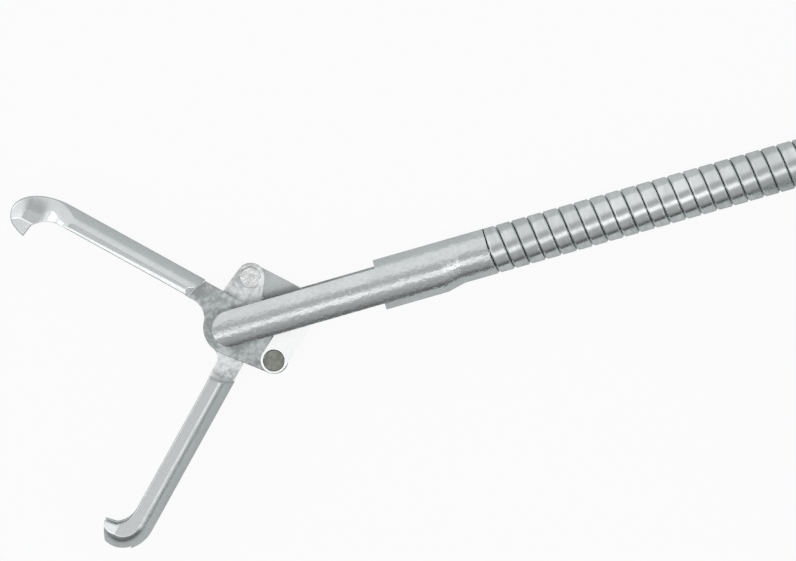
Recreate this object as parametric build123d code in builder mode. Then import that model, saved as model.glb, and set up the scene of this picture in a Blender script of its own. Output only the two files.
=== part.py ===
from build123d import *

import os
from math import cos, degrees, pi, radians, sin, sqrt, tan

# Flexible grasping forceps: a rat-tooth head on a flat-wire coil sheath, worked by a finger
# spool that slides on the stem of a thumb ring. Millimetres. +X runs from the jaws to the
# handle, the jaws open in the XY plane and +Z is up from the table that the instrument lies on.
# The origin is the centre of the thumb ring's bore. The jaws are modelled wide open.

# Clearances
seat = 0.01  # round pieces fixed in each other
running = 0.03  # pieces that turn or slide on each other
sliding = 0.08  # the large plastic pieces
cut = 30.0  # more than the reach of any cut in the head

# Fork, cut from a round bar and swaged down onto the sheath
fork_radius = 1.25
plate = 0.40  # each of the four plates of the linkage
slot_length = 7.55  # from the pivot to the end of the slot
collar_length = 3.15
swage_length = 0.9
tail_length = 1.5
swage_shift = 0.10  # the swage leaves one side of the fork straight

# Sheath, a close-wound coil of flat wire
sheath_radius = 1.15
sheath_bore = 0.65
sheath_reach = 42.0  # from the pivot to the middle of the stored coil
sheath_side = 4.0  # of the sheath's line from the handle's
coil_turn_radius = 13.0  # at the middle of the turns
coil_turns_across = 2
coil_layers = 2
coil_stub = 0.3  # straight, past the place where the line meets the turns
lead_bend = 0.45  # of the shorter run at each bend of the lead

# Pins
pivot_pin_radius = 0.42
link_pin_radius = 0.50
drive_pin_radius = 0.40

# Linkage
open_angle = 45.0  # each arm to the axis, as modelled
closed_angle = 0.5
tail_crank = 7.6  # bend between an arm and its tail
tail_reach = 2.62
link_length = 3.07
hub_radius = 1.35
hub_boss_radius = 0.90
eye_radius = 0.70
link_eye_radius = 0.64
drive_eye_radius = 0.60
drive_eye_play = 0.09  # round the drive pin, where the linkage is left open

# Arms and hooks: sizes along the arm from the pivot, and outwards from its axis
arm_radius = 1.44
arm_root = 2.65
cheek_half = 1.2
lip_slope = 22.0  # of the bevel along the upper arm's inner edge and round its root
lip_root = 0.26
lip_end = 0.10
lip_spare = 0.2
upper_inner = 0.40
upper_neck_inner = 0.32
upper_blend = 1.0  # radius between the arm's inner edge and the hub
upper_nose = 2.5
upper_reach = 12.17
upper_bend = 9.60
upper_throat = (10.93, -0.35)
upper_tip = (11.03, -1.00)
upper_brow = (11.70, -0.76)
lower_inner = 0.28
lower_neck_inner = 0.22
lower_blend = 0.6
lower_nose = 1.64
lower_reach = 12.24
lower_bend = 10.05
lower_throat = (11.08, -0.25)
lower_tip = (11.19, -0.84)
lower_brow = (11.80, -0.53)
hook_front = (12.50, 0.05)
claw_half = 0.45  # the one tooth of the upper jaw
claw_start = 9.2
claw_end = 10.75
claw_rise = 1.57  # half height of the oval sections that round its back
claw_sections = [
    (9.2, 1.38),
    (10.0, 0.88),
    (10.4, 0.59),
    (10.75, 0.475),
    (11.1, 0.456),
    (11.6, 0.44),
    (12.6, 0.40),
]
tooth_point_half = 0.10
tooth_bevel = 0.75  # height of the bevelled point of each tooth
notch_clearance = 0.11
notch_depth = 0.94
notch_start = 10.55

# Yoke and drive wire
yoke_tang_half = 0.39
yoke_eye_radius = 0.66
yoke_barrel_radius = 0.74
yoke_barrel_start = 1.6  # behind the drive pin
yoke_barrel_length = 3.6
yoke_socket = 1.5
guide_spare = 0.3
wire_radius = 0.30
wire_play = 0.12
wire_in_sheath = 12.0

# Thumb ring and stem
handle_height = 12.0
ring_outer = 16.0
ring_bore = 11.0
ring_edge = 2.0
stem_radius = 4.5
stem_front = 78.0  # shoulder of the stem, ahead of the ring's centre
stem_flare = 9.0
stem_flare_radius = 5.7
spigot_length = 8.0
spigot_radius = 3.4
spigot_chamfer = 0.3
stem_bore = 2.0
stem_slot_length = 14.0
stem_slot_front = 1.5  # ahead of the cross pin

# Finger spool
spool_centre = 51.0
spool_length = 24.0
spool_width = 30.0
spool_waist = 18.0
spool_flange = 4.0
spool_edge = 0.4
screw_radius = 1.0
screw_head_radius = 1.9
screw_head_height = 1.2
screw_recess = 1.6
screw_reach = 3.5
screw_offset = 6.3
cross_pin_radius = 0.9
cross_pin_length = 10.0
crimp_length = 8.0
crimp_socket = 3.0
crimp_chamfer = 0.15
crimp_spare = 1.0  # of the bore behind the crimp at the end of its travel
stiffener_radius = 0.6
stiffener_bore = 0.33

# Nose of the handle
nut_radius = 5.6
nut_wall = 5.0  # its front wall, which clamps the ferrule's flange
nut_flutes = 14
nut_flute_radius = 0.6
nut_chamfer = 1.2
nut_rim = 1.0  # plain, behind the flutes
ferrule_radius = 1.7
ferrule_bore = 0.72
ferrule_flange = 1.0
ferrule_flange_radius = 3.2
relief_length = 18.0
relief_back_radius = 3.3
relief_tip_radius = 2.1
relief_lip = 1.0
relief_grooves = 4
relief_groove_width = 1.1
relief_groove_depth = 0.45
relief_groove_pitch = 2.9
sheath_entry = 3.0  # of the sheath into the strain relief
stiffener_reach = 8.0  # of the stiffener ahead of the nut's flange

# Places worked out from the sizes above
slot_width = 4 * plate + 5 * running
layer = plate + running
plate_far = running / 2 + plate  # outer face of an inner plate, from the middle of the slot
link_near = plate_far + running
link_far = link_near + plate
floor_z = -handle_height / 2
head_z = floor_z + fork_radius
sheath_width = 2 * sheath_radius
top_turn_z = head_z + (coil_layers - 1) * sheath_width
nut_length = nut_wall + ferrule_flange + spigot_length
nut_x = -(stem_front + nut_length)
relief_x = nut_x - relief_length

# Route of the sheath from the stored coil into the handle
lead_points = [
    (-134.0, sheath_side, top_turn_z),
    (-125.0, sheath_side, top_turn_z),
    (-116.0, 0, 0),
    (relief_x + sheath_entry, 0, 0),
]
coil_half_width = coil_turns_across * sheath_width / 2
coil_outer = coil_turn_radius + coil_half_width
coil_inner = coil_turn_radius - coil_half_width
coil_tangent = sqrt(coil_outer**2 - (coil_outer - sheath_width) ** 2) + coil_stub
coil_x = lead_points[0][0] - coil_tangent
coil_y = sheath_side + sheath_radius - coil_outer
pivot_x = coil_x - sheath_reach
collar_end = slot_length + collar_length
swage_end = collar_end + swage_length
lip_rise = tan(radians(lip_slope))
fork_end = swage_end + tail_length

pivot = Vector(pivot_x, sheath_side - swage_shift, head_z)
head = Plane(origin=pivot, x_dir=(1, 0, 0), z_dir=(0, 0, 1))
tail_angle = radians(open_angle + tail_crank)
jaw_swing = radians(open_angle - closed_angle)


def pin_x(angle):
    """Place of the drive pin for a tail at this angle to the axis."""
    return tail_reach * cos(angle) + sqrt(link_length**2 - (tail_reach * sin(angle)) ** 2)


drive_x = pin_x(tail_angle)
travel = pin_x(tail_angle - jaw_swing) - drive_x
strokes = [i / 20 for i in range(21)]
pin_lead = max(pin_x(tail_angle - jaw_swing * f) - drive_x - travel * f for f in strokes)
barrel_x = drive_x + yoke_barrel_start
barrel_end = barrel_x + yoke_barrel_length
guide_end = barrel_end + travel + guide_spare


def across(x, y=0.0, z=0.0):
    """Plane across the instrument at x, with its own x along +Y."""
    return Plane(origin=(x, y, z), x_dir=(0, 1, 0), z_dir=(1, 0, 0))


def across_head(x):
    """Plane across the fork's axis, this far behind the pivot."""
    return across(pivot_x + x, pivot.Y, head_z)


def arm_plane(side):
    """Plane of an open jaw: x along its arm, y outwards, with its plate below the plane."""
    along = (-cos(radians(open_angle)), side * sin(radians(open_angle)), 0)
    return Plane(origin=pivot, x_dir=along, z_dir=(0, 0, -side))


def across_arm(side, x):
    """Plane across an open jaw's arm at x, with its own x outwards."""
    plane = arm_plane(side)
    return Plane(origin=plane.origin + plane.x_dir * x, x_dir=plane.y_dir, z_dir=plane.x_dir)


def tail_pin(side):
    """Place on the head's plane of the pin through the tail of the jaw on this side."""
    return (tail_reach * cos(tail_angle), -side * tail_reach * sin(tail_angle))


def finish(part, name):
    """Label a piece and write its file."""
    part.label = name
    export_step(part, f"parts/{name}.step")


os.makedirs("parts", exist_ok=True)

# Fork: two ears, a closed collar and a tail swaged down to the sheath
with BuildPart() as fork:
    with BuildSketch(across_head(-fork_radius)):
        Circle(fork_radius)
    extrude(amount=fork_radius + collar_end)
    with BuildSketch(across_head(collar_end)):
        Circle(fork_radius)
    with BuildSketch(across(pivot_x + swage_end, sheath_side, head_z)):
        Circle(sheath_radius)
    loft()
    with BuildSketch(across(pivot_x + swage_end, sheath_side, head_z)):
        Circle(sheath_radius)
    extrude(amount=tail_length)
    # Slot for the linkage
    with BuildSketch(head):
        with Locations((slot_length - cut / 2, 0)):
            Rectangle(cut, cut)
    extrude(amount=slot_width / 2, both=True, mode=Mode.SUBTRACT)
    # Round ends of the ears
    ear_half = sqrt(fork_radius**2 - (slot_width / 2) ** 2)
    with BuildSketch(head):
        with Locations((-cut / 2, 0)):
            Rectangle(cut, cut)
        Circle(ear_half, mode=Mode.SUBTRACT)
    extrude(amount=2 * fork_radius, both=True, mode=Mode.SUBTRACT)
    # Guide for the yoke, way for the wire, and the pivot's hole
    with BuildSketch(across_head(0)):
        Circle(yoke_barrel_radius + running)
    extrude(amount=guide_end, mode=Mode.SUBTRACT)
    with BuildSketch(across_head(0)):
        Circle(wire_radius + wire_play)
    extrude(amount=fork_end, mode=Mode.SUBTRACT)
    with BuildSketch(head):
        Circle(pivot_pin_radius + seat)
    extrude(amount=2 * fork_radius, both=True, mode=Mode.SUBTRACT)
finish(fork.part, "fork")

# Pivot pin, its ends ground flush with the ears
with BuildPart() as pivot_pin:
    with BuildSketch(head):
        Circle(pivot_pin_radius)
    extrude(amount=2 * fork_radius, both=True)
    with BuildSketch(across_head(-fork_radius)):
        Circle(fork_radius)
    extrude(amount=2 * fork_radius, mode=Mode.INTERSECT)
finish(pivot_pin.part, "pivot_pin")


def jaw_blank(side, inner, neck_inner, blend, bevel, nose, reach, bend, throat, tip, brow):
    """A jaw before its teeth are cut: a half-round arm with a hook, a flat root and a tail."""
    plane = arm_plane(side)
    neck_outer = sqrt(arm_radius**2 - plate_far**2)
    blend_x = sqrt((hub_radius + blend) ** 2 - (blend - neck_inner) ** 2)
    blend_share = hub_radius / (hub_radius + blend)
    blend_foot = (blend_x * blend_share, (neck_inner - blend) * blend_share)
    bevel_foot = cheek_half - bevel * lip_rise
    bevel_reach = arm_root + (fork_radius - bevel_foot) / lip_rise
    tail = (-tail_reach * cos(radians(tail_crank)), -tail_reach * sin(radians(tail_crank)))
    with BuildPart() as blank:
        # Side view of the arm and its hook
        with BuildSketch(plane):
            with BuildLine():
                Line((0, inner), (bend, inner))
                TangentArc((bend, inner), throat, tangent=(1, 0))
                Line(throat, tip)
                ThreePointArc(tip, brow, hook_front)
                Polyline(hook_front, (hook_front[0], cut), (0, cut), (0, inner))
            make_face()
        extrude(amount=cheek_half, both=True)
        # The round bar that it is cut from, with its nose
        with BuildSketch(plane):
            with BuildLine():
                Polyline((reach, 0), (0, 0), (0, arm_radius), (reach - nose, arm_radius))
                EllipticalCenterArc((reach - nose, 0), nose, arm_radius, arc_size=90)
            make_face()
        revolve(axis=Axis(plane.origin, plane.x_dir), mode=Mode.INTERSECT)
        # Run-out of the arm, turned about the pivot, with its bevel
        with BuildSketch(Plane(origin=pivot, x_dir=(1, 0, 0), z_dir=(0, -1, 0))):
            Polygon(
                (0, -fork_radius),
                (bevel_reach, -fork_radius),
                (arm_root, -bevel_foot),
                (arm_root, bevel_foot),
                (bevel_reach, fork_radius),
                (0, fork_radius),
                align=None,
            )
        revolve(axis=Axis(pivot, (0, 0, 1)), mode=Mode.SUBTRACT)
        # Root plate: hub, neck and tail
        with BuildSketch(plane.offset(-plate_far)):
            Circle(hub_radius)
            with Locations(tail):
                Circle(eye_radius)
            make_hull()
            neck_end = arm_root + plate
            with BuildLine():
                Polyline(
                    (0, 0),
                    (0, neck_outer),
                    (neck_end, neck_outer),
                    (neck_end, inner),
                    (arm_root, neck_inner),
                    (blend_x, neck_inner),
                )
                TangentArc((blend_x, neck_inner), blend_foot, tangent=(-1, 0))
                Line(blend_foot, (0, 0))
            make_face()
        extrude(amount=plate)
        # Boss that fills the layer beside the hub
        with BuildSketch(plane.offset(-link_far)):
            Circle(hub_boss_radius)
        extrude(amount=layer)
        with BuildSketch(plane):
            Circle(pivot_pin_radius + running)
            with Locations(tail):
                Circle(link_pin_radius + seat)
        extrude(amount=2 * link_far, both=True, mode=Mode.SUBTRACT)
    return blank.part


# What rounding the back of the claw takes off: all but a body of oval sections
with BuildPart() as claw_waste:
    with BuildSketch(across_arm(1, claw_sections[0][0])):
        Rectangle(cut, cut)
    extrude(amount=claw_sections[-1][0] - claw_sections[0][0])
    with BuildPart(mode=Mode.SUBTRACT):
        for reach, half in claw_sections:
            with BuildSketch(across_arm(1, reach)):
                Ellipse(claw_rise, half)
        loft()

# Upper jaw, narrowed to one pointed tooth
with BuildPart() as jaw_upper:
    add(
        jaw_blank(
            1,
            upper_inner,
            upper_neck_inner,
            upper_blend,
            lip_root,
            upper_nose,
            upper_reach,
            upper_bend,
            upper_throat,
            upper_tip,
            upper_brow,
        )
    )
    upper = arm_plane(1)
    claw_view = Plane(origin=upper.origin, x_dir=upper.x_dir, z_dir=upper.y_dir)
    for hand in (1, -1):
        # Bevel along the inner edge, narrower towards the claw
        for reach, width in ((0, lip_root), (upper_bend, lip_end)):
            with BuildSketch(across_arm(1, reach)):
                lip_top = cheek_half + lip_spare * lip_rise
                Polygon(
                    (upper_inner - lip_spare, hand * lip_top),
                    (upper_inner + width + lip_spare, hand * lip_top),
                    (
                        upper_inner - lip_spare,
                        hand * (cheek_half - (width + lip_spare) * lip_rise),
                    ),
                    align=None,
                )
        loft(mode=Mode.SUBTRACT)
        # Taper to the claw
        with BuildSketch(claw_view):
            with BuildLine():
                taper = Spline(
                    (claw_start, hand * cheek_half),
                    (claw_end, hand * claw_half),
                    tangents=[(1, 0), (1, 0)],
                )
                Polyline(
                    taper @ 1,
                    (cut, hand * claw_half),
                    (cut, hand * cut),
                    (claw_start, hand * cut),
                    taper @ 0,
                )
            make_face()
        extrude(amount=cut, both=True, mode=Mode.SUBTRACT)
        # Bevel towards the tooth's point
        with BuildSketch(across_arm(1, claw_end)):
            Polygon(
                (upper_tip[1] + tooth_bevel, hand * claw_half),
                (upper_tip[1], hand * tooth_point_half),
                (upper_tip[1] - claw_half, hand * tooth_point_half),
                (upper_tip[1] - claw_half, hand * claw_half),
                align=None,
            )
        extrude(amount=cut, both=True, mode=Mode.SUBTRACT)
    add(claw_waste.part, mode=Mode.SUBTRACT)
finish(jaw_upper.part, "jaw_upper")

# Lower jaw, notched into two teeth that the upper tooth enters
with BuildPart() as jaw_lower:
    add(
        jaw_blank(
            -1,
            lower_inner,
            lower_neck_inner,
            lower_blend,
            0,
            lower_nose,
            lower_reach,
            lower_bend,
            lower_throat,
            lower_tip,
            lower_brow,
        )
    )
    lower = arm_plane(-1)
    notch_half = claw_half + notch_clearance
    with BuildSketch(lower):
        with Locations((notch_start, notch_depth)):
            Rectangle(cut, cut, align=(Align.MIN, Align.MAX))
    extrude(amount=notch_half, both=True, mode=Mode.SUBTRACT)
    tooth_middle = (notch_half + cheek_half) / 2 + tooth_point_half
    for hand in (1, -1):
        with BuildSketch(across_arm(-1, claw_end)):
            Polygon(
                (lower_tip[1] + tooth_bevel, hand * cheek_half),
                (lower_tip[1], hand * tooth_middle),
                (lower_tip[1] - claw_half, hand * tooth_middle),
                (lower_tip[1] - claw_half, hand * cheek_half),
                align=None,
            )
        extrude(amount=cut, both=True, mode=Mode.SUBTRACT)
finish(jaw_lower.part, "jaw_lower")


def link_blank(side, drive_hole):
    """Link from the tail of the jaw on this side to the drive pin, outside that jaw's plate."""
    with BuildPart() as link:
        with BuildSketch(head.offset(side * link_near)):
            with Locations(tail_pin(side)):
                Circle(link_eye_radius)
            with Locations((drive_x, 0)):
                Circle(drive_eye_radius)
            make_hull()
            with Locations(tail_pin(side)):
                Circle(link_pin_radius + running, mode=Mode.SUBTRACT)
            with Locations((drive_x, 0)):
                Circle(drive_hole, mode=Mode.SUBTRACT)
        extrude(amount=side * plate)
    return link.part


def link_pin_blank(side):
    """Pin through the tail of the jaw on this side and through its link."""
    with BuildPart() as pin:
        with BuildSketch(head.offset(side * running / 2)):
            with Locations(tail_pin(side)):
                Circle(link_pin_radius)
        extrude(amount=side * (link_far - running / 2))
    return pin.part


# Links and their pins, named by where they stand out of the fork
finish(link_blank(1, drive_pin_radius + drive_eye_play), "link_lower")
finish(link_blank(-1, drive_pin_radius + seat), "link_upper")
finish(link_pin_blank(1), "link_pin_lower")
finish(link_pin_blank(-1), "link_pin_upper")

# Drive pin through both links and the yoke
with BuildPart() as drive_pin:
    with BuildSketch(head):
        with Locations((drive_x, 0)):
            Circle(drive_pin_radius)
    extrude(amount=link_far, both=True)
finish(drive_pin.part, "drive_pin")

# Yoke: a flat tang with a long eye between the links, and a barrel guided in the fork
with BuildPart() as yoke:
    with BuildSketch(head):
        with Locations((drive_x, 0), (barrel_x, 0)):
            Circle(yoke_eye_radius)
        make_hull()
        with Locations((drive_x + pin_lead / 2, 0)):
            eye_width = 2 * (drive_pin_radius + drive_eye_play)
            SlotCenterToCenter(pin_lead, eye_width, mode=Mode.SUBTRACT)
    extrude(amount=yoke_tang_half, both=True)
    with BuildSketch(across_head(barrel_x)):
        Circle(yoke_barrel_radius)
    extrude(amount=yoke_barrel_length)
    with BuildSketch(across_head(barrel_end)):
        Circle(wire_radius + seat)
    extrude(amount=-yoke_socket, mode=Mode.SUBTRACT)
finish(yoke.part, "yoke")

# Front end of the drive wire
with BuildPart() as drive_wire:
    with BuildSketch(across_head(barrel_end - yoke_socket)):
        Circle(wire_radius)
    extrude(amount=fork_end + wire_in_sheath - barrel_end + yoke_socket)
finish(drive_wire.part, "drive_wire")

# Sheath: the straight run behind the fork
run_start = pivot_x + fork_end
run_length = coil_x - coil_tangent - run_start
with BuildPart() as sheath_run:
    with BuildSketch(across(run_start, sheath_side, head_z)):
        Circle(sheath_radius)
        Circle(sheath_bore, mode=Mode.SUBTRACT)
    extrude(amount=run_length)
finish(sheath_run.part, "sheath_run")

# Sheath: the outer shape of its stored coil, with the stretches where the turns join the line
with BuildPart() as sheath_coil:
    with BuildSketch(Plane.XY.offset(floor_z)):
        with Locations((coil_x, coil_y)):
            Circle(coil_outer)
        with Locations((coil_x, sheath_side)):
            Rectangle(2 * coil_tangent, sheath_width)
        with Locations((coil_x, coil_y)):
            Circle(coil_inner, mode=Mode.SUBTRACT)
    extrude(amount=top_turn_z + sheath_radius - floor_z)
finish(sheath_coil.part, "sheath_coil")

# Sheath: the lead up into the handle
lead = [Vector(*point) for point in lead_points]
lead_radii = []
for before, corner, after in zip(lead, lead[1:], lead[2:]):
    turn = (corner - before).get_angle(after - corner)
    shorter = min((corner - before).length, (after - corner).length)
    lead_radii.append(lead_bend * shorter / tan(radians(turn / 2)))
with BuildPart() as sheath_lead:
    with BuildLine() as lead_line:
        FilletPolyline(*lead, radius=lead_radii)
    with BuildSketch(across(*lead_points[0])):
        Circle(sheath_radius)
    sweep()
finish(sheath_lead.part, "sheath_lead")

# Thumb ring and stem, one moulding
with BuildPart() as handle_stem:
    with BuildSketch(Plane.XY):
        Circle(ring_outer)
        Circle(ring_bore, mode=Mode.SUBTRACT)
    extrude(amount=handle_height / 2, both=True)
    fillet(handle_stem.edges().filter_by(GeomType.CIRCLE), ring_edge)
    ring_wall = (ring_outer + ring_bore) / 2
    with BuildSketch(across(-stem_front)):
        Circle(stem_radius)
    extrude(amount=stem_front - ring_wall)
    with BuildSketch(across(-ring_outer - stem_flare)):
        Circle(stem_radius)
    with BuildSketch(across(-ring_wall)):
        Circle(stem_flare_radius)
    loft()
    with BuildSketch(across(-stem_front)):
        Circle(spigot_radius)
    extrude(amount=-spigot_length)
    chamfer(handle_stem.faces().sort_by(Axis.X)[0].edges(), spigot_chamfer)
    # Way for the crimp and slot for the cross pin
    bore_end = spool_centre - crimp_length / 2 - travel - crimp_spare
    with BuildSketch(across(-bore_end)):
        Circle(stem_bore)
    extrude(amount=-(stem_front + spigot_length - bore_end), mode=Mode.SUBTRACT)
    with BuildSketch(Plane.XY):
        with Locations((-spool_centre - stem_slot_front + stem_slot_length / 2, 0)):
            SlotOverall(stem_slot_length, 2 * (cross_pin_radius + sliding))
    extrude(amount=2 * stem_radius, both=True, mode=Mode.SUBTRACT)
finish(handle_stem.part, "handle_stem")


def spool_half(side):
    """Half of the finger spool, split on the jaws' plane: two flanges and a hollow waist."""
    with BuildPart() as half:
        with BuildSketch(across(-spool_centre - spool_length / 2)):
            SlotOverall(spool_width, handle_height)
        extrude(amount=spool_length)
        with BuildSketch(Plane.XY):
            with Locations(*[(-spool_centre, hand * spool_width / 2) for hand in (1, -1)]):
                saddle_half = spool_length / 2 - spool_flange
                Ellipse(saddle_half, (spool_width - spool_waist) / 2)
        extrude(amount=handle_height, both=True, mode=Mode.SUBTRACT)
        split(bisect_by=Plane.XY, keep=Keep.TOP if side > 0 else Keep.BOTTOM)
        rims = half.edges().group_by(Axis.Z)[-1 if side > 0 else 0]
        chamfer(rims, spool_edge)
        with BuildSketch(across(-spool_centre)):
            Circle(stem_radius + sliding)
        extrude(amount=spool_length, both=True, mode=Mode.SUBTRACT)
        with BuildSketch(Plane.XY):
            with Locations((-spool_centre, 0)):
                Circle(cross_pin_radius + seat)
        extrude(amount=side * (cross_pin_length / 2 + seat), mode=Mode.SUBTRACT)
        screw_places = [(-spool_centre, hand * screw_offset) for hand in (1, -1)]
        with BuildSketch(Plane.XY):
            with Locations(*screw_places):
                Circle(screw_radius + seat)
        depth = screw_reach + seat if side > 0 else -handle_height
        extrude(amount=depth, mode=Mode.SUBTRACT)
        if side < 0:
            with BuildSketch(Plane.XY.offset(floor_z)):
                with Locations(*screw_places):
                    Circle(screw_head_radius + seat)
            extrude(amount=screw_recess, mode=Mode.SUBTRACT)
    return half.part


finish(spool_half(1), "spool_upper")
finish(spool_half(-1), "spool_lower")

# Two screws that hold the spool's halves together
with BuildPart() as spool_screws:
    head_top = floor_z + screw_recess
    with BuildSketch(Plane.XY.offset(head_top)):
        with Locations((-spool_centre, screw_offset), (-spool_centre, -screw_offset)):
            Circle(screw_head_radius)
    extrude(amount=-screw_head_height)
    with BuildSketch(Plane.XY.offset(head_top)):
        with Locations((-spool_centre, screw_offset), (-spool_centre, -screw_offset)):
            Circle(screw_radius)
    extrude(amount=screw_reach - head_top)
finish(spool_screws.part, "spool_screws")

# Cross pin from the spool through the stem's slot and the crimp
with BuildPart() as cross_pin:
    with BuildSketch(Plane.XY):
        with Locations((-spool_centre, 0)):
            Circle(cross_pin_radius)
    extrude(amount=cross_pin_length / 2, both=True)
finish(cross_pin.part, "cross_pin")

# Crimp on the wire's end, in the stem's bore
crimp_front = -spool_centre - crimp_length / 2
with BuildPart() as wire_crimp:
    with BuildSketch(across(crimp_front)):
        Circle(stem_bore - running)
    extrude(amount=crimp_length)
    chamfer(wire_crimp.edges().filter_by(GeomType.CIRCLE), crimp_chamfer)
    with BuildSketch(across(crimp_front)):
        Circle(stiffener_radius + seat)
    extrude(amount=crimp_socket, mode=Mode.SUBTRACT)
    with BuildSketch(Plane.XY):
        with Locations((-spool_centre, 0)):
            Circle(cross_pin_radius + seat)
    extrude(amount=stem_radius, both=True, mode=Mode.SUBTRACT)
finish(wire_crimp.part, "wire_crimp")

# Stiffener tube over the rear of the wire, from the crimp into the ferrule
flange_x = nut_x + nut_wall
with BuildPart() as stiffener_tube:
    with BuildSketch(across(crimp_front + crimp_socket)):
        Circle(stiffener_radius)
        Circle(stiffener_bore, mode=Mode.SUBTRACT)
    extrude(amount=-(crimp_front + crimp_socket - flange_x + stiffener_reach))
finish(stiffener_tube.part, "stiffener_tube")

# Fluted nut that clamps the ferrule against the spigot
with BuildPart() as nose_nut:
    with BuildSketch(across(nut_x)):
        Circle(nut_radius)
    extrude(amount=nut_length)
    chamfer(nose_nut.edges().group_by(Axis.X)[0], nut_chamfer)
    with BuildSketch(across(nut_x + nut_wall / 2)):
        with PolarLocations(nut_radius + nut_flute_radius / 2, nut_flutes):
            Circle(nut_flute_radius)
    extrude(amount=nut_length - nut_wall / 2 - nut_rim, mode=Mode.SUBTRACT)
    with BuildSketch(across(flange_x)):
        Circle(spigot_radius + seat)
    extrude(amount=nut_length, mode=Mode.SUBTRACT)
    with BuildSketch(across(nut_x)):
        Circle(ferrule_radius + seat)
    extrude(amount=nut_length, mode=Mode.SUBTRACT)
finish(nose_nut.part, "nose_nut")

# Ferrule crimped on the sheath's end
with BuildPart() as sheath_ferrule:
    with BuildSketch(across(flange_x)):
        Circle(ferrule_flange_radius)
    extrude(amount=ferrule_flange)
    with BuildSketch(across(relief_x + relief_lip)):
        Circle(ferrule_radius)
    extrude(amount=flange_x - relief_x - relief_lip)
    with BuildSketch(across(relief_x + relief_lip)):
        Circle(ferrule_bore)
    extrude(amount=flange_x - relief_x, mode=Mode.SUBTRACT)
    with BuildSketch(across(relief_x + relief_lip)):
        Circle(sheath_radius + seat)
    extrude(amount=sheath_entry - relief_lip, mode=Mode.SUBTRACT)
finish(sheath_ferrule.part, "sheath_ferrule")

# Strain relief, a tapered soft sleeve with grooves
with BuildPart() as strain_relief:
    with BuildSketch(Plane.XY):
        Polygon(
            (relief_x, sheath_radius + seat),
            (relief_x, relief_tip_radius),
            (nut_x, relief_back_radius),
            (nut_x, ferrule_radius + seat),
            (relief_x + relief_lip, ferrule_radius + seat),
            (relief_x + relief_lip, sheath_radius + seat),
            align=None,
        )
    revolve(axis=Axis.X)
    slope = (relief_back_radius - relief_tip_radius) / relief_length
    for i in range(relief_grooves):
        from_tip = relief_groove_pitch * (i + 1)
        skin = relief_tip_radius + slope * from_tip
        with BuildSketch(Plane.XY):
            with Locations((relief_x + from_tip, skin)):
                Rectangle(relief_groove_width, 2 * relief_groove_depth)
        revolve(axis=Axis.X, mode=Mode.SUBTRACT)
finish(strain_relief.part, "strain_relief")

turns = coil_turns_across * coil_layers
turn_length = 2 * pi * coil_turn_radius
lead_length = sum(edge.length for edge in lead_line.edges())
sheath_length = run_length + 2 * coil_tangent + turns * turn_length + lead_length
print("travel of the wire", round(travel, 4), "lead of the drive pin", round(pin_lead, 4))
print("jaw swing", round(degrees(jaw_swing), 3), "pivot at", [round(v, 3) for v in pivot])
print("sheath length", round(sheath_length, 2), "lead radii", [round(r, 1) for r in lead_radii])
lead_volume = pi * sheath_radius**2 * lead_length
print("lead volume", round(sheath_lead.part.volume, 3), "section times length", round(lead_volume, 3))
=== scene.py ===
"""Flexible grasping forceps: finishes, the wound sheath and a plain studio, in metres."""

import logging
import math
from dataclasses import dataclass, field
from enum import Enum
from functools import cache

import bpy
from mathutils import Matrix, Vector


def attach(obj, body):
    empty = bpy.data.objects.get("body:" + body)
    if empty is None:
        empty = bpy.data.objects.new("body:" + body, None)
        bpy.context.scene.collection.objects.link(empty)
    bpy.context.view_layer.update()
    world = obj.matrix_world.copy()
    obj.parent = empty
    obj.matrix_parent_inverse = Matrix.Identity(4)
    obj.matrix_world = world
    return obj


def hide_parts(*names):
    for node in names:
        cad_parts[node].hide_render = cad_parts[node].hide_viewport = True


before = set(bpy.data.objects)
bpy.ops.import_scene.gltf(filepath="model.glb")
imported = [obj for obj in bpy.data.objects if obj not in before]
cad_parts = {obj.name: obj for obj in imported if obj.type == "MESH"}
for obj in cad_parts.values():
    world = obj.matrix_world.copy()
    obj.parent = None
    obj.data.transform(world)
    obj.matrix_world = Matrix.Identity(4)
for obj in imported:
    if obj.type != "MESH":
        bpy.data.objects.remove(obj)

logging.basicConfig(level=logging.INFO, format="%(message)s")
log = logging.getLogger("forceps")

MM = 0.001
# Middle of the pin on which both jaws turn
PIVOT = Vector((-184.368, 3.9, -4.75)) * MM
Colour = tuple[float, float, float, float]


def linear(code: str) -> Colour:
    """Linear colour of an sRGB hex value.

    Args:
        code: Six hex digits.

    Returns:
        Red, green, blue and an alpha of 1.
    """
    parts = [int(code[i : i + 2], 16) / 255 for i in (0, 2, 4)]
    red, green, blue = (
        part / 12.92 if part <= 0.04045 else ((part + 0.055) / 1.055) ** 2.4 for part in parts
    )
    return red, green, blue, 1.0


def scaled(colour: Colour, share: float) -> Colour:
    """The same colour, darker or lighter."""
    red, green, blue, alpha = colour
    return red * share, green * share, blue * share, alpha


def per_mm(size: float) -> float:
    """Noise scale on coordinates in metres that gives features of this size in millimetres."""
    return 1 / (size * MM)


def add_node(
    tree: bpy.types.NodeTree, kind: str, links: dict | None = None, **settings: object
) -> bpy.types.Node:
    """Add a node to a tree.

    Args:
        tree: Tree that gets the node.
        kind: The node type's name.
        links: For each input, by name or place, an output to link or a value.
        settings: Values for the node's own properties.

    Returns:
        The node.
    """
    made = tree.nodes.new(kind)
    for name, value in settings.items():
        setattr(made, name, value)
    for name, value in (links or {}).items():
        if isinstance(value, bpy.types.NodeSocket):
            tree.links.new(value, made.inputs[name])
        else:
            made.inputs[name].default_value = value
    return made


def blank_material(name: str) -> tuple[bpy.types.Material, bpy.types.NodeTree]:
    """Make a material with an empty tree.

    Args:
        name: The real material's name and how it was made.

    Returns:
        The material and its tree.
    """
    material = bpy.data.materials.new(name)
    material.use_nodes = True
    material.node_tree.nodes.clear()
    return material, material.node_tree


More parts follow.
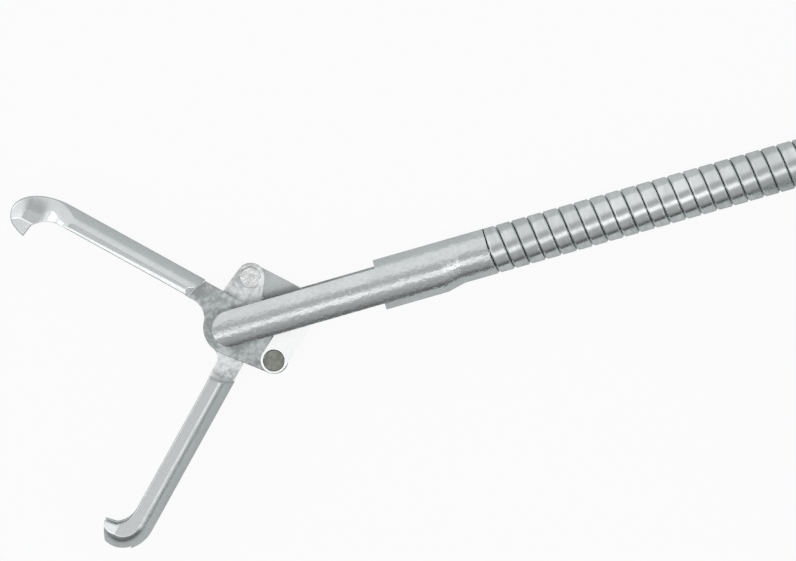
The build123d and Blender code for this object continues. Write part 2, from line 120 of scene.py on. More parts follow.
def place(
    tree: bpy.types.NodeTree, stretch: tuple[float, float, float] = (1.0, 1.0, 1.0)
) -> bpy.types.NodeSocket:
    """Object coordinates for a pattern that may be longer along one axis than another.

    Args:
        tree: The material's tree.
        stretch: How much longer the pattern is along X, Y and Z.

    Returns:
        The socket with the coordinates.
    """
    coordinates = add_node(tree, "ShaderNodeTexCoord").outputs["Object"]
    return add_node(
        tree,
        "ShaderNodeMapping",
        {"Vector": coordinates, "Scale": tuple(1 / length for length in stretch)},
    ).outputs[0]


class Working(Enum):
    """How a metal surface was last worked, as the lengths of its grain along X, Y and Z."""

    TUMBLED = (1.0, 1.0, 1.0)
    WOUND = (1.0, 5.0, 5.0)


@dataclass(frozen=True)
class Metal:
    """Bare or anodised metal: patches and grain that show where a light ends, broken edges."""

    name: str
    bright: str
    dull: str
    smooth: float  # roughness where it is bright
    rough: float  # roughness where it is dull
    mottle: float = 0.22  # mm, size of the patches that tumbling leaves
    mottle_depth: float = 0.006  # mm
    cloud: float = 6.0  # size of the clouds in which patches gather, in patches
    patch_span: tuple[float, float] = (0.8, 1.25)  # patch plus cloud, where dull and where bright
    grain: float = 0.07  # mm, coarser than the real scratches, which are too fine to show
    grain_depth: float = 0.0012  # mm
    edge: float = 0.03  # mm, radius of its edges
    working: Working = Working.TUMBLED
    # Root colour: painted shade on one jaw and painted light on the other, where the same steel
    # looks darker or paler from how light falls
    root: str = ""  # colour of a jaw's plates round the pivot
    root_dark: float = 0.58  # share of that colour in their dullest patches
    root_rough: float = 0.48
    root_edge: float = 0.12  # mm, radius of their edges
    root_end: tuple[float, float] = (2.56, 2.62)  # mm from the pivot, where the arm takes over

    def root_share(self, tree: bpy.types.NodeTree) -> bpy.types.NodeSocket:
        """Share of the root's look: 1 on the plates round the pivot, 0 on the arm.

        Args:
            tree: The material's tree.

        Returns:
            The socket with the share.
        """
        coordinates = add_node(tree, "ShaderNodeTexCoord").outputs["Object"]
        spot = add_node(
            tree,
            "ShaderNodeMapping",
            {"Vector": coordinates, "Location": (-PIVOT.x, -PIVOT.y, 0), "Scale": (1, 1, 0)},
        ).outputs[0]
        reach = add_node(tree, "ShaderNodeVectorMath", {0: spot}, operation="LENGTH")
        plates_end, arm_starts = self.root_end
        near = add_node(
            tree,
            "ShaderNodeMapRange",
            {
                "Value": reach.outputs["Value"],
                "From Min": arm_starts * MM,
                "From Max": plates_end * MM,
            },
        ).outputs[0]
        # The tail behind the pivot is part of the root, however far it reaches
        across = add_node(tree, "ShaderNodeSeparateXYZ", {0: spot}).outputs["X"]
        tail = add_node(
            tree, "ShaderNodeMath", {0: across, 1: 0.0}, operation="GREATER_THAN"
        ).outputs[0]
        return add_node(
            tree, "ShaderNodeMath", {0: near, 1: tail}, operation="MAXIMUM"
        ).outputs[0]

    def build(self) -> bpy.types.Material:
        """Build the material.

        Returns:
            The material.
        """
        material, tree = blank_material(self.name)
        spot = place(tree, self.working.value)
        mottle, grain, cloud = (
            add_node(
                tree,
                "ShaderNodeTexNoise",
                {"Vector": spot, "Scale": per_mm(size), "Detail": detail, "Roughness": roughness},
            ).outputs[0]
            for size, detail, roughness in (
                (self.mottle, 3.0, 0.55),
                (self.grain, 2.0, 0.6),
                (self.cloud * self.mottle, 2.0, 0.5),
            )
        )
        patches = add_node(
            tree, "ShaderNodeMath", {0: mottle, 1: cloud}, operation="ADD"
        ).outputs[0]
        dullest, brightest = self.patch_span
        share = add_node(
            tree,
            "ShaderNodeMapRange",
            {"Value": patches, "From Min": dullest, "From Max": brightest},
            interpolation_type="SMOOTHSTEP",
        ).outputs[0]
        colour = add_node(
            tree,
            "ShaderNodeMix",
            {0: share, 6: linear(self.dull), 7: linear(self.bright)},
            data_type="RGBA",
        ).outputs[2]
        roughness = add_node(
            tree,
            "ShaderNodeMapRange",
            {
                "Value": patches,
                "From Min": dullest,
                "From Max": brightest,
                "To Min": self.rough,
                "To Max": self.smooth,
            },
        ).outputs[0]
        rounding = self.edge * MM
        # The plates round the pivot take the root colour, which is painted shade or painted light;
        # their roughness and edge radius are real
        if self.root:
            root = self.root_share(tree)
            plates = add_node(
                tree,
                "ShaderNodeMix",
                {0: share, 6: scaled(linear(self.root), self.root_dark), 7: linear(self.root)},
                data_type="RGBA",
            ).outputs[2]
            colour = add_node(
                tree, "ShaderNodeMix", {0: root, 6: colour, 7: plates}, data_type="RGBA"
            ).outputs[2]
            roughness, rounding = (
                add_node(
                    tree, "ShaderNodeMapRange", {"Value": root, "To Min": on_arm, "To Max": on_root}
                ).outputs[0]
                for on_arm, on_root in (
                    (roughness, self.root_rough),
                    (self.edge * MM, self.root_edge * MM),
                )
            )
        normal = add_node(tree, "ShaderNodeBevel", {"Radius": rounding}, samples=8).outputs[0]
        for height, depth in ((mottle, self.mottle_depth), (grain, self.grain_depth)):
            normal = add_node(
                tree,
                "ShaderNodeBump",
                {"Height": height, "Distance": depth * MM, "Normal": normal},
            ).outputs[0]
        shader = add_node(
            tree,
            "ShaderNodeBsdfPrincipled",
            {"Base Color": colour, "Metallic": 1.0, "Roughness": roughness, "Normal": normal},
        )
        add_node(tree, "ShaderNodeOutputMaterial", {"Surface": shader.outputs[0]})
        return material


@dataclass(frozen=True)
class Moulded:
    """Moulded plastic or rubber: one even colour under the fine skin of its mould."""

    name: str
    colour: str
    worn: str
    roughness: float
    skin: float = 0.35  # mm, spacing of the mould's eroded skin, drawn coarse so that it shows
    skin_depth: float = 0.006  # mm
    edge: float = 0.25  # mm, radius of its edges
    handling: float = 9.0  # mm, size of the patches that hands leave
    worn_span: tuple[float, float] = (0.4, 0.72)  # noise where the colour is new and where worn
    rubbed_span: tuple[float, float] = (0.35, 0.75)  # noise where it is dull and where rubbed
    polish: float = 0.1  # roughness that rubbing takes off

    def build(self) -> bpy.types.Material:
        """Build the material.

        Returns:
            The material.
        """
        material, tree = blank_material(self.name)
        spot = place(tree)
        skin, handled = (
            add_node(
                tree,
                "ShaderNodeTexNoise",
                {"Vector": spot, "Scale": per_mm(size), "Detail": detail, "Roughness": 0.6},
            ).outputs[0]
            for size, detail in ((self.skin, 3.0), (self.handling, 4.0))
        )
        share = add_node(
            tree,
            "ShaderNodeMapRange",
            {"Value": handled, "From Min": self.worn_span[0], "From Max": self.worn_span[1]},
            interpolation_type="SMOOTHSTEP",
        ).outputs[0]
        colour = add_node(
            tree,
            "ShaderNodeMix",
            {0: share, 6: linear(self.colour), 7: linear(self.worn)},
            data_type="RGBA",
        ).outputs[2]
        roughness = add_node(
            tree,
            "ShaderNodeMapRange",
            {
                "Value": handled,
                "From Min": self.rubbed_span[0],
                "From Max": self.rubbed_span[1],
                "To Min": self.roughness,
                "To Max": self.roughness - self.polish,
            },
        ).outputs[0]
        rounded = add_node(
            tree, "ShaderNodeBevel", {"Radius": self.edge * MM}, samples=4
        ).outputs[0]
        normal = add_node(
            tree,
            "ShaderNodeBump",
            {"Height": skin, "Distance": self.skin_depth * MM, "Normal": rounded},
        ).outputs[0]
        shader = add_node(
            tree,
            "ShaderNodeBsdfPrincipled",
            {"Base Color": colour, "Roughness": roughness, "IOR": 1.5, "Normal": normal},
        )
        add_node(tree, "ShaderNodeOutputMaterial", {"Surface": shader.outputs[0]})
        return material


# Tumbled bar: soft patches where stones have struck it, plainest along the edge of a light
FORK_STEEL = Metal(
    "Stainless bar, turned and tumbled",
    bright="d9dcdc",
    dull="ced2d2",
    smooth=0.2,
    rough=0.28,
    mottle=0.24,
    mottle_depth=0.024,
    edge=0.015,
)
# Milled from bar and brushed smooth, with duller tumbled plates round the pivot, darkened there by
# painted shade
UPPER_JAW_STEEL = Metal(
    "Stainless steel, milled, painted shade at its root",
    bright="d8dbdb",
    dull="d2d6d6",
    smooth=0.22,
    rough=0.28,
    mottle_depth=0.0012,
    grain_depth=0.0006,
    edge=0.08,
    root="c2c7c7",
)
# The same steel, with painted shade darkening the arm and painted light paling the plates round the
# pivot
LOWER_JAW_STEEL = Metal(
    "Stainless steel, milled, painted light at its root",
    bright="d0d4d4",
    dull="cacece",
    smooth=0.22,
    rough=0.28,
    mottle_depth=0.0012,
    grain_depth=0.0006,
    edge=0.08,
    root="e2e5e5",
)
# Stamped strip, rough so that it scatters: its nearly white colour is a painted highlight for the
# bright light that its flat face mirrors
PAINTED_BRIGHT_LINK_STEEL = Metal(
    "Stainless strip, painted bright",
    bright="f6f7f7",
    dull="f0f1f1",
    smooth=0.42,
    rough=0.5,
    mottle_depth=0.002,
    grain_depth=0.0005,
    edge=0.07,
)
# The same strip as rolled: plain grey
GREY_LINK_STEEL = Metal(
    "Stainless strip, as rolled",
    bright="ccd0d0",
    dull="c4c9c9",
    smooth=0.25,
    rough=0.32,
    mottle_depth=0.002,
    grain_depth=0.0005,
)
# Riveted pin end, with facets where the hammer has struck: its near-white colour is a painted
# highlight like the bright plate round it
RIVET_STEEL_PAINTED_BRIGHT = Metal(
    "Stainless pin, riveted, painted bright",
    bright="f4f5f5",
    dull="dcdfdf",
    smooth=0.2,
    rough=0.3,
    mottle=0.3,
    mottle_depth=0.02,
)
# Pins and small turned pieces, ground off square and dull: their dark colour is painted shade,
# taken from the pin ends on the head that lie in shade
PIN_STEEL_PAINTED_SHADE = Metal(
    "Stainless pin, ground end, painted shade",
    bright="8c8e88",
    dull="787b74",
    smooth=0.45,
    rough=0.6,
    grain=0.05,
    grain_depth=0.002,
)
# Spring wire rolled flat: bright, with fine draw lines along the wire
SHEATH_STEEL = Metal(
    "Stainless spring wire, rolled flat",
    bright="e1e4e4",
    dull="ccd0d0",
    smooth=0.18,
    rough=0.28,
    mottle=0.3,
    mottle_depth=0.004,
    working=Working.WOUND,
)
# Clear anodising on turned aluminium: an even pale grey, softer than steel
NUT_ALUMINIUM = Metal(
    "Aluminium, clear anodised",
    bright="d3d4d8",
    dull="c6c8cc",
    smooth=0.32,
    rough=0.4,
    mottle=0.5,
    mottle_depth=0.002,
    edge=0.1,
)
# Stem and ring: light grey ABS, half matt from its eroded mould
STEM_PLASTIC = Moulded("ABS, moulded light grey", "d4d7d8", "dcdfdf", 0.45)
# Spool: blue-grey ABS, a little duller
SPOOL_PLASTIC = Moulded("ABS, moulded blue grey", "aeb6bd", "b6bdc4", 0.48)
# Strain relief: soft grey elastomer, which scatters its shine
RELIEF_RUBBER = Moulded("Elastomer, moulded dark grey", "7b7e80", "848789", 0.7, skin=0.5)

Finish = Metal | Moulded
Finishes = tuple[tuple[Finish, tuple[str, ...]], ...]


@cache
def built(finish: Finish) -> bpy.types.Material:
    """The finish's material, which is built once and shared by its pieces."""
    return finish.build()


def give_finishes(finishes: Finishes) -> None:
    """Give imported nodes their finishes.

    Args:
        finishes: Each finish, with the names of its nodes.
    """
    for finish, names in finishes:
        for name in names:
            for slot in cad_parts[name].material_slots:
                slot.material = built(finish)
            log.info("%s: %s", name, finish.name)


@dataclass
class Head:
    """Fork, jaws, links and pins: solids from the frame with their steel finishes."""

    finishes: Finishes = (
        (FORK_STEEL, ("fork", "pivot_pin")),
        (UPPER_JAW_STEEL, ("jaw_upper",)),
        (LOWER_JAW_STEEL, ("jaw_lower",)),
        (PAINTED_BRIGHT_LINK_STEEL, ("link_lower",)),
        (GREY_LINK_STEEL, ("link_upper", "yoke", "drive_wire")),
        (RIVET_STEEL_PAINTED_BRIGHT, ("link_pin_upper",)),
        (PIN_STEEL_PAINTED_SHADE, ("link_pin_lower", "drive_pin")),
    )

    def dress(self) -> None:
        """Dress every node of the head."""
        give_finishes(self.finishes)


def curve_mesh(
    curve: bpy.types.Curve,
    tree: bpy.types.NodeTree | None = None,
    sizes: dict[str, float] | None = None,
) -> bpy.types.Mesh:
    """Make a plain mesh of a curve, or of what a geometry tree makes of it.

    Args:
        curve: The curve.
        tree: The geometry tree, where one is used.
        sizes: Values for the tree's inputs by name.

    Returns:
        The mesh.
    """
    holder = bpy.data.objects.new(curve.name, curve)
    bpy.context.scene.collection.objects.link(holder)
    if tree:
        modifier = holder.modifiers.new(tree.name, "NODES")
        modifier.node_group = tree
        for socket in tree.interface.items_tree:
            if socket.in_out == "INPUT" and socket.name in sizes:
                modifier[socket.identifier] = sizes[socket.name]
    graph = bpy.context.evaluated_depsgraph_get()
    mesh = bpy.data.meshes.new_from_object(holder.evaluated_get(graph))
    bpy.data.objects.remove(holder)
    return mesh


@dataclass
class Sheath:
    """The sheath: one flat wire wound close along its whole route."""

    radius: float = 1.145 * MM
    wire_thickness: float = 0.45 * MM
    pitch: float = 0.79 * MM
    gap: float = 0.055 * MM
    chamfer: float = 0.07 * MM
    sharp_corner: float = 0.6  # radians between two faces, above which their edge stays crisp
    start: Vector = field(default_factory=lambda: Vector((-171.268, 4, -4.75)) * MM)
    # Points in mm on the straight run behind the fork
    straight: tuple[tuple[float, float, float], ...] = ((-163, 4, -4.75), (-154, 4, -4.75))
    coil_centre: Vector = field(default_factory=lambda: Vector((-142.368, -10.15, -4.75)) * MM)
    turn_radii: tuple[float, float, float] = (14.15 * MM, 11.85 * MM, 9.55 * MM)
    # Degrees of the coil's turns: two steps inwards, a climb by one layer, two steps outwards
    steps_in: tuple[tuple[float, float], ...] = ((290, 360), (650, 720))
    climb: tuple[float, float] = (720, 820)
    steps_out: tuple[tuple[float, float], ...] = ((820, 940), (1080, 1200))
    coil_turns: int = 4
    lift: float = 2.3 * MM
    # Points in mm from the coil's second layer up to the handle's axis
    lead: tuple[tuple[float, float, float], ...] = (
        (-134.0, 4, -2.45),
        (-125.0, 4, -2.45),
        (-116.0, 0, 0),
        (-107.0, 0, 0),
    )
    points_per_turn: int = 16
    # How far, less half a gap, the first turn's middle lies inside the fork's end on its top
    tucked: float = 0.36 * MM
    seat_slope: float = 0.002  # what stays of the reach past the seat, so that no points meet
    fine_turns: int = 32  # as far as the camera sees and a little more
    fine_steps: int = 40
    plain_steps: int = 16

    def coil_place(self, angle: float) -> tuple[float, float]:
        """Radius and height of the coiled line after this many degrees of its turns.

        Args:
            angle: Degrees turned since the sheath joined the coil.

        Returns:
            Distance from the coil's middle, and height above its first layer.
        """

        def ease(first: float, last: float) -> float:
            """Share of a move that runs from one angle to another."""
            share = min(max((angle - first) / (last - first), 0), 1)
            return share * share * (3 - 2 * share)

        outer, middle, inner = self.turn_radii
        radius = outer
        radius += (middle - outer) * (ease(*self.steps_in[0]) - ease(*self.steps_out[1]))
        radius += (inner - middle) * (ease(*self.steps_in[1]) - ease(*self.steps_out[0]))
        return radius, self.lift * ease(*self.climb)

    def route(self) -> bpy.types.Curve:
        """Lay the sheath's line from the fork to the handle.

        Returns:
            The line, one spline.
        """
        points = [self.start] + [Vector(point) * MM for point in self.straight]
        outward = 1 / math.cos(math.pi / self.points_per_turn)
        for step in range(self.coil_turns * self.points_per_turn):
            turned = (step + 0.5) * 360 / self.points_per_turn
            radius, height = self.coil_place(turned)
            around = math.radians(turned)
            reach = Vector((math.sin(around), math.cos(around), 0)) * radius * outward
            points.append(self.coil_centre + reach + Vector((0, 0, height)))
        points += [Vector(point) * MM for point in self.lead]
        curve = bpy.data.curves.new("sheath_line", "CURVE")
        curve.dimensions = "3D"
        curve.twist_mode = "Z_UP"
        curve.resolution_u = 10
        spline = curve.splines.new("NURBS")
        spline.points.add(len(points) - 1)
        for point, spot in zip(spline.points, points):
            point.co = (*spot, 1)
        spline.order_u = 3
        spline.use_endpoint_u = True
        return curve

    def winding_tree(self, finish: bpy.types.Material) -> bpy.types.NodeTree:
        """Build the tree that winds a flat wire round a line.

        Args:
            finish: Material of the wire.

        Returns:
            The tree, with its sizes as named inputs.
        """
        tree = bpy.data.node_groups.new("Flat wire winding", "GeometryNodeTree")
        interface = tree.interface
        interface.new_socket("Line", in_out="INPUT", socket_type="NodeSocketGeometry")
        for name in ("Radius", "Thickness", "Width", "Pitch", "Chamfer", "Start"):
            interface.new_socket(name, in_out="INPUT", socket_type="NodeSocketFloat")
        for name in ("Turns", "Steps per turn"):
            interface.new_socket(name, in_out="INPUT", socket_type="NodeSocketInt")
        interface.new_socket("Wire", in_out="OUTPUT", socket_type="NodeSocketGeometry")
        given = add_node(tree, "NodeGroupInput").outputs

        # A plain strand has one point for each step, and each point finds its place on the line
        steps = add_node(
            tree,
            "ShaderNodeMath",
            {0: given["Turns"], 1: given["Steps per turn"]},
            operation="MULTIPLY",
        ).outputs[0]
        count = add_node(tree, "ShaderNodeMath", {0: steps, 1: 1.0}, operation="ADD").outputs[0]
        base = add_node(tree, "GeometryNodeCurvePrimitiveLine").outputs[0]
        strand = add_node(
            tree, "GeometryNodeResampleCurve", {"Curve": base, "Count": count}
        ).outputs[0]
        index = add_node(tree, "GeometryNodeInputIndex").outputs[0]
        turned = add_node(
            tree, "ShaderNodeMath", {0: index, 1: given["Steps per turn"]}, operation="DIVIDE"
        ).outputs[0]
        along = add_node(
            tree,
            "ShaderNodeMath",
            {0: turned, 1: given["Pitch"], 2: given["Start"]},
            operation="MULTIPLY_ADD",
        ).outputs[0]
        spot = add_node(
            tree,
            "GeometryNodeSampleCurve",
            {"Curves": given["Line"], "Length": along},
            mode="LENGTH",
            use_all_curves=True,
        ).outputs
        # The first turn starts a little before the line does
        short_by = add_node(
            tree, "ShaderNodeMath", {0: along, 1: 0.0}, operation="MINIMUM"
        ).outputs[0]
        before = add_node(
            tree,
            "ShaderNodeVectorMath",
            {0: spot["Tangent"], "Scale": short_by},
            operation="SCALE",
        ).outputs[0]
        centre = add_node(
            tree, "ShaderNodeVectorMath", {0: spot["Position"], 1: before}, operation="ADD"
        ).outputs[0]

        # Each turn starts underneath the line and rises on its left
        angle = add_node(
            tree, "ShaderNodeMath", {0: turned, 1: 2 * math.pi}, operation="MULTIPLY"
        ).outputs[0]
        cosine, sine = (
            add_node(tree, "ShaderNodeMath", {0: angle}, operation=operation).outputs[0]
            for operation in ("COSINE", "SINE")
        )
        below = add_node(
            tree,
            "ShaderNodeVectorMath",
            {0: spot["Tangent"], 1: spot["Normal"]},
            operation="CROSS_PRODUCT",
        ).outputs[0]
        down, right = (
            add_node(
                tree, "ShaderNodeVectorMath", {0: way, "Scale": share}, operation="SCALE"
            ).outputs[0]
            for way, share in ((below, cosine), (spot["Normal"], sine))
        )
        outwards = add_node(
            tree, "ShaderNodeVectorMath", {0: down, 1: right}, operation="SUBTRACT"
        ).outputs[0]
        half = add_node(
            tree, "ShaderNodeMath", {0: given["Thickness"], 1: 0.5}, operation="MULTIPLY"
        ).outputs[0]
        middle = add_node(
            tree, "ShaderNodeMath", {0: given["Radius"], 1: half}, operation="SUBTRACT"
        ).outputs[0]
        reach = add_node(
            tree, "ShaderNodeVectorMath", {0: outwards, "Scale": middle}, operation="SCALE"
        ).outputs[0]
        position = add_node(
            tree, "ShaderNodeVectorMath", {0: centre, 1: reach}, operation="ADD"
        ).outputs[0]
        kept = add_node(tree, "GeometryNodeCaptureAttribute", {"Geometry": strand}, domain="POINT")
        kept.capture_items.new("VECTOR", "Outwards")
        tree.links.new(outwards, kept.inputs["Outwards"])
        placed = add_node(
            tree,
            "GeometryNodeSetPosition",
            {"Geometry": kept.outputs["Geometry"], "Position": position},
        ).outputs[0]
        faced = add_node(
            tree,
            "GeometryNodeSetCurveNormal",
            {"Curve": placed, "Normal": kept.outputs["Outwards"]},
            mode="FREE",
        ).outputs[0]

        # The wire's section has four chamfered corners, which stay crisp along the wire
        flat = add_node(
            tree,
            "GeometryNodeCurvePrimitiveQuadrilateral",
            {"Width": given["Thickness"], "Height": given["Width"]},
        ).outputs[0]
        section = add_node(
            tree,
            "GeometryNodeFilletCurve",
            {"Curve": flat, "Radius": given["Chamfer"], "Count": 1},
            mode="POLY",
        ).outputs[0]
        wire = add_node(
            tree,
            "GeometryNodeCurveToMesh",
            {"Curve": faced, "Profile Curve": section, "Fill Caps": True},
        ).outputs[0]
        corner = add_node(tree, "GeometryNodeInputMeshEdgeAngle").outputs["Unsigned Angle"]
        sharp = add_node(
            tree,
            "FunctionNodeCompare",
            {0: corner, 1: self.sharp_corner},
            data_type="FLOAT",
            operation="GREATER_THAN",
        ).outputs[0]
        shaded = add_node(
            tree,
            "GeometryNodeSetShadeSmooth",
            {"Geometry": wire, "Selection": sharp, "Shade Smooth": False},
            domain="EDGE",
        ).outputs[0]
        whole = add_node(tree, "GeometryNodeRealizeInstances", {"Geometry": shaded}).outputs[0]
        dressed = add_node(
            tree, "GeometryNodeSetMaterial", {"Geometry": whole, "Material": finish}
        ).outputs[0]
        add_node(tree, "NodeGroupOutput", {"Wire": dressed})
        return tree

    def wind(
        self,
        line: bpy.types.Curve,
        tree: bpy.types.NodeTree,
        start: float,
        turns: int,
        steps: int,
    ) -> bpy.types.Mesh:
        """Wind one stretch of the wire.

        Args:
            line: The sheath's line.
            tree: The winding tree.
            start: Distance along the line at which the stretch starts.
            turns: Number of turns.
            steps: Number of steps in each turn.

        Returns:
            The stretch as a plain mesh.
        """
        sizes = {
            "Radius": self.radius,
            "Thickness": self.wire_thickness,
            "Width": self.pitch - self.gap,
            "Pitch": self.pitch,
            "Chamfer": self.chamfer,
            "Start": start,
            "Turns": turns,
            "Steps per turn": steps,
        }
        return curve_mesh(line, tree, sizes)

    def seat_first_turn(self, wire: bpy.types.Mesh) -> None:
        """Grind the first turn flat on the fork's end, with a hairline seam on its upper left.

        Args:
            wire: Mesh of the sheath's first stretch.
        """
        for vertex in wire.vertices:
            in_seam = vertex.co.y > self.start.y and vertex.co.z > self.start.z
            seat = self.start.x + (self.gap if in_seam else 0)
            if vertex.co.x < seat:
                vertex.co.x = seat + self.seat_slope * (vertex.co.x - seat)

    def build(self) -> bpy.types.Object:
        """Returns:
            The sheath.
        """
        line = self.route()
        path = [tuple(vertex.co) for vertex in curve_mesh(line).vertices]
        length = sum((Vector(b) - Vector(a)).length for a, b in zip(path, path[1:]))
        tree = self.winding_tree(SHEATH_STEEL.build())
        first = self.gap / 2 - self.pitch / 2 - self.tucked
        change = first + self.fine_turns * self.pitch
        plain_turns = int((length - first) / self.pitch) - self.fine_turns
        front = self.wind(line, tree, first, self.fine_turns, self.fine_steps)
        rear = self.wind(line, tree, change, plain_turns, self.plain_steps)
        self.seat_first_turn(front)
        pieces = [
            bpy.data.objects.new(name, mesh) for name, mesh in (("sheath", front), ("rear", rear))
        ]
        for piece in pieces:
            bpy.context.scene.collection.objects.link(piece)
        sheath = pieces[0]
        with bpy.context.temp_override(
            active_object=sheath, object=sheath, selected_editable_objects=pieces
        ):
            bpy.ops.object.join()
        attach(sheath, "root")
        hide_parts("sheath_run", "sheath_coil", "sheath_lead")
        turns = self.fine_turns + plain_turns
        log.info("sheath: %d turns on %.4f m, %d faces", turns, length, len(sheath.data.polygons))
        return sheath


@dataclass
class Handle:
    """Stem with its thumb ring, finger spool, nut, strain relief and the pieces inside."""

    finishes: Finishes = (
        (STEM_PLASTIC, ("handle_stem",)),
        (SPOOL_PLASTIC, ("spool_upper", "spool_lower")),
        (NUT_ALUMINIUM, ("nose_nut",)),
        (RELIEF_RUBBER, ("strain_relief",)),
        (
            PIN_STEEL_PAINTED_SHADE,
            ("spool_screws", "cross_pin", "wire_crimp", "stiffener_tube", "sheath_ferrule"),
        ),
    )

    def dress(self) -> None:
        """Dress every node of the handle."""
        give_finishes(self.finishes)


@dataclass(frozen=True)
class SoftBox:
    """A lamp behind a rectangle of cloth, which faces the head."""

    name: str
    around: float  # degrees from +X, seen from above
    lean: float  # degrees from overhead
    width: float  # m
    height: float  # m
    radiance: float

    def hang(self, target: Vector, distance: float) -> None:
        """Hang the lamp.

        Args:
            target: Point that it faces.
            distance: Distance from that point to its cloth.
        """
        lamp = bpy.data.lights.new(self.name, "AREA")
        lamp.shape = "RECTANGLE"
        lamp.size, lamp.size_y = self.width, self.height
        lamp.energy = math.pi * self.width * self.height * self.radiance
        around, lean = math.radians(self.around), math.radians(self.lean)
        side = Vector((math.cos(around), math.sin(around), 0))
        away = side * math.sin(lean) + Vector((0, 0, math.cos(lean)))
        across = Vector((-math.sin(around), math.cos(around), 0))
        turn = Matrix((across, away.cross(across), away)).transposed().to_4x4()
        holder = bpy.data.objects.new(self.name, lamp)
        holder.matrix_world = Matrix.Translation(target + away * distance) @ turn
        holder.visible_camera = False
        bpy.context.scene.collection.objects.link(holder)


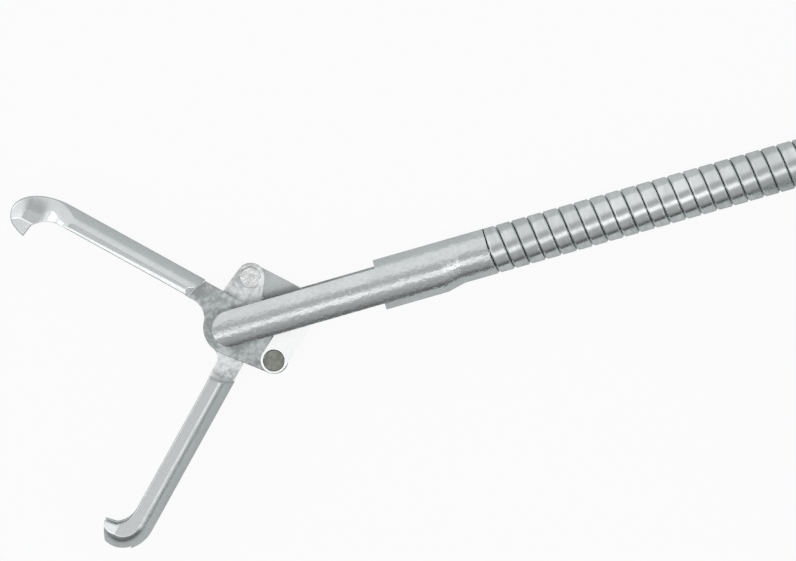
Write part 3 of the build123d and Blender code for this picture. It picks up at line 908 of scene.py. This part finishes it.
@dataclass
class Studio:
    """White table inside a light tent, six soft boxes round the head, and the camera above."""

    target: Vector = field(default_factory=lambda: Vector((-175.90, 3.86, -4.75)) * MM)
    # Way along the table that points to the top of the picture
    picture_up: Vector = field(default_factory=lambda: Vector((0.2756, 0.9613, 0)))
    tilt: float = 3.5  # degrees by which the camera leans from overhead, towards that way
    distance: float = 0.4
    picture_width: float = 38.83 * MM
    sensor_width: float = 36.0  # mm
    lamp_distance: float = 0.62
    soft_boxes: tuple[SoftBox, ...] = (
        SoftBox("soft_box_over", -90, 17, 1.8, 0.22, 0.8),
        SoftBox("soft_box_right", -45, 62, 0.2, 0.45, 1.4),
        SoftBox("soft_box_left", -135, 44, 0.25, 0.2, 1.25),
        SoftBox("soft_box_end", 180, 50, 0.4, 0.6, 0.8),
        SoftBox("soft_box_near", -28, 30, 0.16, 0.18, 2.4),
        SoftBox("soft_box_behind", 135, 68, 0.25, 0.3, 1.5),
    )
    table_height: float = -6.0 * MM
    table_half: float = 2.0
    paper: str = "c2c6c6"
    white_seen: float = 0.93  # share of plain white that the camera sees
    white_mirrored: float = 0.12  # share of it that metal mirrors
    # Degrees from overhead towards +Y, and how bright the tent is there
    tent: tuple[tuple[float, float], ...] = (
        (-90, 0.04),
        (-81, 0.05),
        (-69, 0.34),
        (-58, 0.46),
        (-34, 0.49),
        (-8, 0.56),
        (-1, 0.56),
        (5, 0.45),
        (18, 0.45),
        (34, 0.97),
        (90, 0.97),
    )
    # Sideways part of a direction where the tent's back cloth starts, and where it is fully lit
    back_cloth: tuple[float, float] = (0.1, 0.24)

    def set_camera(self) -> None:
        """Set the camera above the head, with its lens for the picture's width."""
        lens = bpy.data.cameras.new("camera")
        lens.sensor_width = self.sensor_width
        lens.lens = self.sensor_width * self.distance / self.picture_width
        lens.clip_start, lens.clip_end = 0.01, 10.0
        tilt = math.radians(self.tilt)
        back = Vector((0, 0, 1)) * math.cos(tilt) + self.picture_up * math.sin(tilt)
        up = (self.picture_up - back * self.picture_up.dot(back)).normalized()
        turn = Matrix((up.cross(back), up, back)).transposed().to_4x4()
        camera = bpy.data.objects.new("camera", lens)
        camera.matrix_world = Matrix.Translation(self.target + back * self.distance) @ turn
        bpy.context.scene.collection.objects.link(camera)
        bpy.context.scene.camera = camera

    def lay_table(self) -> None:
        """Lay the white table, which keeps a faint shadow."""
        material, tree = blank_material("Paper sweep, white")
        ray = add_node(tree, "ShaderNodeLightPath").outputs
        seen = add_node(
            tree,
            "ShaderNodeMath",
            {0: ray["Is Camera Ray"], 1: ray["Is Transmission Ray"]},
            operation="MAXIMUM",
        ).outputs[0]
        share = add_node(
            tree, "ShaderNodeMath", {0: seen, 1: self.white_seen}, operation="MULTIPLY"
        ).outputs[0]
        share = add_node(
            tree,
            "ShaderNodeMath",
            {0: ray["Is Glossy Ray"], 1: self.white_mirrored, 2: share},
            operation="MULTIPLY_ADD",
        ).outputs[0]
        paper = add_node(tree, "ShaderNodeBsdfDiffuse", {"Color": linear(self.paper)}).outputs[0]
        white = add_node(
            tree, "ShaderNodeEmission", {"Color": linear("ffffff"), "Strength": 1.0}
        ).outputs[0]
        mixed = add_node(tree, "ShaderNodeMixShader", {0: share, 1: paper, 2: white}).outputs[0]
        add_node(tree, "ShaderNodeOutputMaterial", {"Surface": mixed})
        corners = [
            (x * self.table_half, y * self.table_half, self.table_height)
            for x, y in ((-1, -1), (1, -1), (1, 1), (-1, 1))
        ]
        mesh = bpy.data.meshes.new("table")
        mesh.from_pydata(corners, [], [(0, 1, 2, 3)])
        mesh.materials.append(material)
        table = bpy.data.objects.new("table", mesh)
        bpy.context.scene.collection.objects.link(table)

    def pitch_tent(self) -> None:
        """Light the room as a tent whose brightness changes from its near side to its back."""
        world = bpy.data.worlds.new("room")
        world.use_nodes = True
        tree = world.node_tree
        tree.nodes.clear()
        direction = add_node(tree, "ShaderNodeTexCoord").outputs["Generated"]
        sides = add_node(tree, "ShaderNodeSeparateXYZ", {0: direction}).outputs
        angle = add_node(
            tree, "ShaderNodeMath", {0: sides["Y"], 1: sides["Z"]}, operation="ARCTAN2"
        ).outputs[0]
        place_on_ramp = add_node(
            tree,
            "ShaderNodeMapRange",
            {"Value": angle, "From Min": -math.pi / 2, "From Max": math.pi / 2},
        ).outputs[0]
        ramp = add_node(tree, "ShaderNodeValToRGB", {"Fac": place_on_ramp})
        stops = ramp.color_ramp.elements
        near_level, back_level = self.tent[0][1], self.tent[-1][1]
        for stop, position, level in ((stops[0], 0.0, near_level), (stops[1], 1.0, back_level)):
            stop.position, stop.color = position, (level, level, level, 1)
        for degrees, level in self.tent[1:-1]:
            stops.new(0.5 + degrees / 180).color = (level, level, level, 1)
        # The grey strip behind overhead ends where the back cloth comes down on either side
        aside = add_node(tree, "ShaderNodeMath", {0: sides["X"]}, operation="ABSOLUTE").outputs[0]
        cloth_starts, cloth_lit = self.back_cloth
        cloth = add_node(
            tree,
            "ShaderNodeMapRange",
            {
                "Value": aside,
                "From Min": cloth_starts,
                "From Max": cloth_lit,
                "To Max": back_level,
            },
        ).outputs[0]
        behind = add_node(
            tree, "ShaderNodeMath", {0: sides["Y"], 1: 0.0}, operation="GREATER_THAN"
        ).outputs[0]
        cloth = add_node(
            tree, "ShaderNodeMath", {0: cloth, 1: behind}, operation="MULTIPLY"
        ).outputs[0]
        level = add_node(
            tree, "ShaderNodeMath", {0: ramp.outputs[0], 1: cloth}, operation="MAXIMUM"
        ).outputs[0]
        room = add_node(tree, "ShaderNodeBackground", {"Color": level, "Strength": 1.0}).outputs[0]
        add_node(tree, "ShaderNodeOutputWorld", {"Surface": room})
        bpy.context.scene.world = world

    def build(self) -> None:
        """Set up the camera, the table, the lamps and the tent."""
        self.set_camera()
        self.lay_table()
        for soft_box in self.soft_boxes:
            soft_box.hang(self.target, self.lamp_distance)
        self.pitch_tent()
        bpy.context.scene.view_settings.view_transform = "Standard"


def main() -> None:
    """Build the studio and the sheath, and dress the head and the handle."""
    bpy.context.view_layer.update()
    Studio().build()
    Sheath().build()
    Head().dress()
    Handle().dress()


if __name__ == "__main__":
    main()
